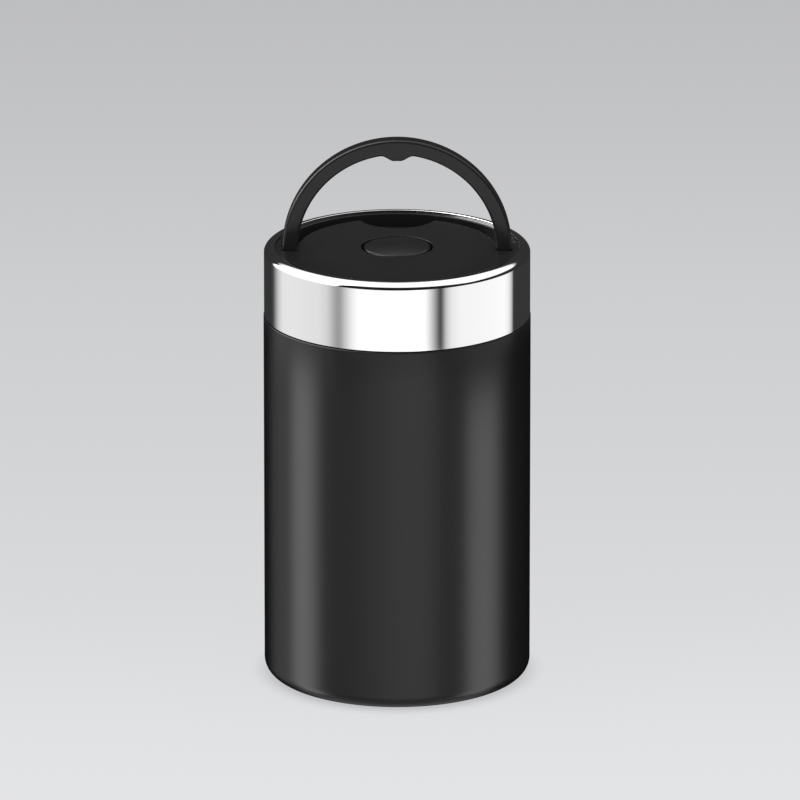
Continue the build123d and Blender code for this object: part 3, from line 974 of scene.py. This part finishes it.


# ---- Floor -------------------------------------------------------------------------
# A plain pale sweep, a little lighter towards the front. For the camera nearly all of its
# brightness is its own glow, with a painted contact shadow close under the jar, so that the shadow stays
# soft.

# Its tone at each y, in metres.
floor_tone = [
    (-0.15, 0.78), (-0.06, 0.76), (0.08, 0.70), (0.27, 0.655), (0.47, 0.62), (0.72, 0.555), (0.93, 0.515),
]  # fmt: skip
floor_low, floor_high = -2.0, 2.0
floor_x, floor_y = 3, 6
shadow_reach, own_light = 0.008, 0.95
sweep = Finish("pale_sweep")
_, (_, sweep_y, _) = sweep.place()
sweep_tone = sweep.node(
    "ShaderNodeValToRGB",
    {"stops": [((y - floor_low) / (floor_high - floor_low), level) for y, level in floor_tone]},
    {"Fac": (sweep_y - floor_low) * (1 / (floor_high - floor_low))},
)
cool = sweep.node(
    "ShaderNodeVectorMath", {"operation": "MULTIPLY"}, {0: sweep_tone.outputs[0], 1: (0.995, 1, 1.02)}
)
# The painted contact shadow: ambient occlusion darkens the floor's own glow close under the jar, by up to a
# quarter.
near = sweep.node("ShaderNodeAmbientOcclusion", {"samples": 16}, {"Distance": shadow_reach})
painted_shadow_factor = Value(sweep, near.outputs["AO"]).step(0.1, 1.0)
camera_ray = sweep.node("ShaderNodeLightPath").outputs["Is Camera Ray"]
lit = sweep.node("ShaderNodeBsdfDiffuse", None, {"Color": cool.outputs[0]})
tone_with_painted_shadow = sweep.node(
    "ShaderNodeVectorMath", {"operation": "SCALE"}, {0: cool.outputs[0], "Scale": painted_shadow_factor * 0.25 + 0.75}
)
glow_with_painted_shadow = sweep.node("ShaderNodeEmission", None, {"Color": tone_with_painted_shadow.outputs[0], "Strength": 1.0})
own_share = Value(sweep, camera_ray) * own_light
both = sweep.node("ShaderNodeMixShader", None, {0: own_share, 1: lit.outputs[0], 2: glow_with_painted_shadow.outputs[0]})
sweep.node("ShaderNodeOutputMaterial", None, {"Surface": both.outputs[0]})
floor_mesh = bpy.data.meshes.new("sweep")
floor_corners = [(x * floor_x, y * floor_y, 0) for x, y in ((-1, -1), (1, -1), (1, 1), (-1, 1))]
floor_mesh.from_pydata(floor_corners, [], [(0, 1, 2, 3)])
floor_mesh.materials.append(sweep.owner)
floor = bpy.data.objects.new("sweep", floor_mesh)
bpy.context.scene.collection.objects.link(floor)
floor.visible_glossy = False


# ---- Studio ------------------------------------------------------------------------
# Soft even light from all round. What polished metal sees instead is a studio: a bright
# table with gaps in it, a tall panel on the left, a wide panel overhead, and the dark
# room between them. Angles are in degrees: 0 is the front, + is to the right.

# The table's brightness at each bearing.
table_tones = [
    (-180, 0.005), (-142, 0.005), (-136, 0.04), (-131, 0.27), (-125, 0.6), (-118, 0.82), (-105, 0.84),
    (-72, 0.81), (-63, 0.7), (-56, 0.42), (-53, 0.34), (-50, 0.38), (-46, 0.6), (-40, 0.92), (-34, 1.12),
    (5, 1.12), (18, 1.4), (26, 1.0), (32, 0.46), (36, 0.13), (38, 0.05), (40, 0.18), (43, 0.6), (48, 0.88),
    (56, 1.0), (107, 1.05), (112.5, 0.93), (116.5, 0.68), (119, 0.36), (121, 0.01), (180, 0.005),
]  # fmt: skip
table_edge = -14
studio = Finish("studio", bpy.data.worlds.new("studio"))
bpy.context.scene.world = studio.owner
direction = studio.node("ShaderNodeTexCoord").outputs["Generated"]
split = studio.node("ShaderNodeSeparateXYZ", None, {"Vector": direction})
aim_x, aim_y, aim_z = (Value(studio, split.outputs[axis]) for axis in "XYZ")
bearing = aim_x.maths("ARCTAN2", aim_x, aim_y * -1) * (180 / math.pi)
height = aim_z.maths("ARCSINE", aim_z) * (180 / math.pi)
table = studio.node(
    "ShaderNodeValToRGB",
    {"stops": [((at + 180) / 360, level) for at, level in table_tones]},
    {"Fac": (bearing + 180) * (1 / 360)},
)
above_table = height.step(table_edge - 1, table_edge + 1)
underfoot = 1 - height.step(-58, -44)

# The panel overhead hangs one unit up, and reaches so far to the right, the front and the
# back. A ray meets it where its slant stays short of all three edges.
panel_right, panel_front, panel_back = 1.87, 0.73, 1.42
overhead = (aim_z * panel_right - aim_x).step(-0.06, 0.06)
overhead = overhead * (aim_z * panel_front + aim_y).step(-0.05, 0.05)
overhead = overhead * (aim_z * panel_back - aim_y).step(-0.1, 0.1)
left_panel = bearing.band(-134, -127, -56, -50) * above_table
room = aim_y.step(-0.2, 0.3) * 0.02 + 0.01
panels = overhead * 1.2 + left_panel * (height.step(-5, 15) * 3.2 + 1.1)
on_table = (1 - above_table) * (1 - underfoot)
seen = Value(studio, table.outputs[0]) * on_table + underfoot * 0.55 + panels + room
glossy = studio.node("ShaderNodeLightPath").outputs["Is Glossy Ray"]
soft = studio.node("ShaderNodeBackground", None, {"Color": grey(1.0), "Strength": 1.0})
sharp_view = studio.node("ShaderNodeBackground", None, {"Color": seen, "Strength": 1.0})
sky = studio.node("ShaderNodeMixShader", None, {0: glossy, 1: soft.outputs[0], 2: sharp_view.outputs[0]})
studio.node("ShaderNodeOutputWorld", None, {"Surface": sky.outputs[0]})


# ---- Wrap card ---------------------------------------------------------------------
# The body sees nearer things: a pale card bent right round the jar, with a strip of light
# on the left, a weaker one on the right and a faint one in the middle, all with soft
# sides. Its top edge is low, so that the body catches it and the lid doesn't.

wrap_radius, wrap_foot = 0.15, -0.12

# The height of its top edge, in metres, at each bearing.
crown_bearings = [-60, -20, 20, 50, 80, 110, 140, 180]
crown_heights = [0.0973, 0.1085, 0.1085, 0.106, 0.104, 0.101, 0.097, 0.09]
wrap = Finish("wrap")
_, (wrap_x, wrap_y, wrap_z) = wrap.place()
around_jar = wrap_x.maths("ARCTAN2", wrap_x, wrap_y * -1) * (180 / math.pi)
wrap_left = around_jar.band(-96, -76, -71, -54) * 2.95
wrap_right = around_jar.band(46, 60, 69, 92) * (1 - wrap_z.step(0.082, 0.094)) * 2.4
wrap_middle = around_jar.band(-46, 12, 18, 38) * (wrap_z.step(0.08, 0.108) * 0.5 + 0.8)
wrap_all_round = around_jar.band(-131, -96, 80, 103) * 0.55
wrap_low = wrap_z.step(-0.11, -0.05) * 0.6 + 0.4
strips = (wrap_middle + wrap_all_round) * wrap_low + wrap_left + wrap_right
wrap_light = wrap.node("ShaderNodeEmission", None, {"Color": strips, "Strength": 1.0})
wrap.node("ShaderNodeOutputMaterial", None, {"Surface": wrap_light.outputs[0]})
angle = np.radians(np.linspace(-180, 180, 181))[:, None]
crown = np.interp(np.degrees(angle), crown_bearings, crown_heights)
level = np.hstack([wrap_foot + 0 * crown, crown])
ring = [wrap_radius * np.sin(angle), -wrap_radius * np.cos(angle), level]
corners, faces = grid(np.stack(np.broadcast_arrays(*ring), -1))
wrap_mesh = bpy.data.meshes.new("wrap")
wrap_mesh.from_pydata(corners, [], faces[0].tolist())
wrap_mesh.materials.append(wrap.owner)
wrap_card = bpy.data.objects.new("wrap", wrap_mesh)
bpy.context.scene.collection.objects.link(wrap_card)
wrap_card.visible_camera = wrap_card.visible_diffuse = False
wrap_card.visible_transmission = wrap_card.visible_shadow = False


# ---- Camera ------------------------------------------------------------------------
# A long lens, a little above the lid, looking down at it from the front.

tilt = math.radians(17.6)
aim = (0.00108, 0.0, 0.10617)
far = 4.787
lens = bpy.data.cameras.new("camera")
lens.lens, lens.sensor_width = 574.4, 36.0
lens.clip_start, lens.clip_end = 0.1, 50.0
camera = bpy.data.objects.new("camera", lens)
camera.location = (aim[0], aim[1] - far * math.cos(tilt), aim[2] + far * math.sin(tilt))
camera.rotation_euler = (math.pi / 2 - tilt, 0, 0)
bpy.context.scene.collection.objects.link(camera)
bpy.context.scene.camera = camera
